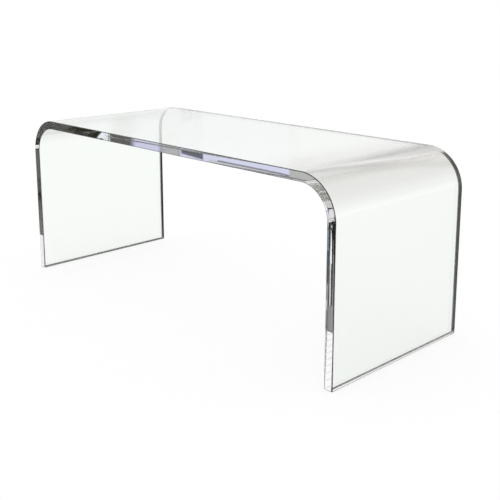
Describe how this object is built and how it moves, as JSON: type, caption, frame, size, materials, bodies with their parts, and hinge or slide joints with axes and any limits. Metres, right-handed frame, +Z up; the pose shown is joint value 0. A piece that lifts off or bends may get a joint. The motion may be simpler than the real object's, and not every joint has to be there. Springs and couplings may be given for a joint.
{
  "type": "waterfall coffee table",
  "caption": "Clear acrylic coffee table: a thick sheet bent into an inverted U, its top curving down at the ends into slab legs, with polished edges and small bumper feet.",
  "frame": {"origin": "centre of the footprint, on the floor that the bumper pads stand on", "axes": "+X along the table's length, +Y across its width from front to back, +Z up"},
  "size_m": [1.02, 0.4, 0.4],
  "materials": {
    "clear_acrylic": "polished",
    "bumper_rubber": "satin"
  },
  "bodies": {
    "root": {"bent_sheet": "clear_acrylic", "foot_pad_left_front": "bumper_rubber", "foot_pad_left_back": "bumper_rubber", "foot_pad_right_front": "bumper_rubber", "foot_pad_right_back": "bumper_rubber"}
  },
  "joints": []
}
